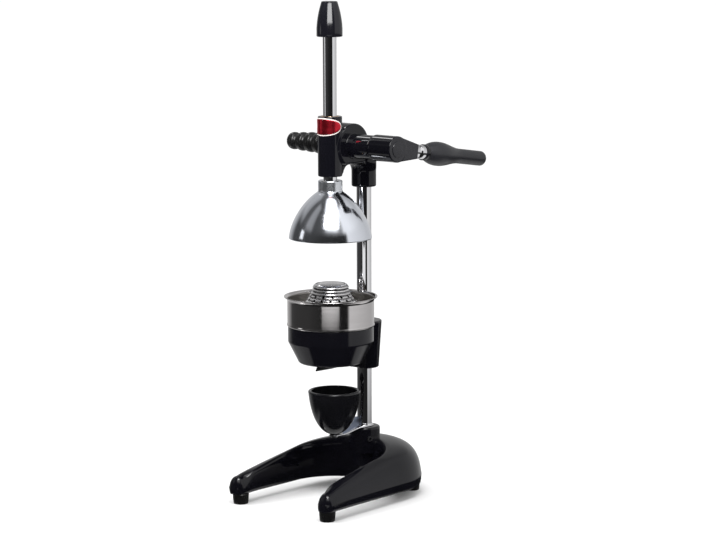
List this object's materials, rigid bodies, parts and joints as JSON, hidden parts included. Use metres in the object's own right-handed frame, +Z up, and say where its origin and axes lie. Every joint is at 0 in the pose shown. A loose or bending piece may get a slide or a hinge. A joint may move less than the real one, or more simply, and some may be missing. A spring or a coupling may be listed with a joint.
{
  "type": "lever citrus juice press",
  "caption": "Tall black lever citrus press: horseshoe stand, chrome column, steel bowl with squeezing cone, polished bell on a rack-driven ram, swing-out drip cup.",
  "frame": {"origin": "on the counter, straight below the axis of the press ram", "axes": "+Z up along the ram; -Y towards the open end of the horseshoe stand, where the glass goes in; +X to the side of the lever hub"},
  "size_m": [0.2137, 0.3597, 0.73],
  "materials": {
    "black_paint": "glossy",
    "black_rubber": "matte",
    "black_gloss_plastic": "glossy",
    "black_plastic": "satin",
    "zinc_screw": "satin",
    "chrome": "polished",
    "stainless": "polished",
    "bell_alloy": "polished",
    "machined_steel": "machined",
    "bronze": "satin",
    "badge_cream": "glossy",
    "badge_red": "glossy"
  },
  "bodies": {
    "frame": {"base_casting": "black_paint", "front_feet": "black_rubber", "rear_feet": "black_rubber", "foot_screws": "zinc_screw", "column_tube": "chrome", "base_set_screw": "zinc_screw", "holder_casting": "black_paint", "holder_set_screws": "zinc_screw", "juice_funnel": "black_plastic", "steel_bowl": "stainless", "strainer_cone": "stainless", "head_casting": "black_paint", "head_set_screw": "zinc_screw", "guide_bushes": "bronze", "badge_border": "badge_cream", "badge_plate": "badge_red", "gear_cover": "black_paint", "cover_screws": "zinc_screw", "shaft_bushes": "bronze", "side_stud": "machined_steel", "side_grip": "black_rubber"},
    "cup": {"cup_arm": "chrome", "drip_cup": "black_gloss_plastic", "cup_screw": "zinc_screw"},
    "lever": {"pinion_shaft": "machined_steel", "pinion_gear": "machined_steel", "gear_key": "machined_steel", "lever_hub": "black_paint", "hub_pin": "machined_steel", "hub_cap": "black_paint", "lever_rod": "machined_steel", "lever_ferrule": "chrome", "lever_ring": "black_plastic", "handle_grip": "black_plastic"},
    "ram": {"ram_rod": "chrome", "ram_cap": "black_gloss_plastic", "press_bell": "bell_alloy", "bell_screw": "zinc_screw"}
  },
  "joints": [
    {"name": "lever_turn", "type": "hinge", "parent": "frame", "child": "lever", "pos_m": [0, 0.0292, 0.521], "axis": [1, 0, 0], "range_deg": [0, 256]},
    {"name": "ram_slide", "type": "slide", "parent": "frame", "child": "ram", "axis": [0, 0, -1], "range_m": [0, 0.094]},
    {"name": "cup_swing", "type": "hinge", "parent": "frame", "child": "cup", "pos_m": [0, 0.075, 0.098], "axis": [0, 0, 1], "range_deg": [-110, 110]}
  ],
  "couplings": [
    {"joint": "ram_slide", "follows": "lever_turn", "m_per_rad": 0.021}
  ]
}
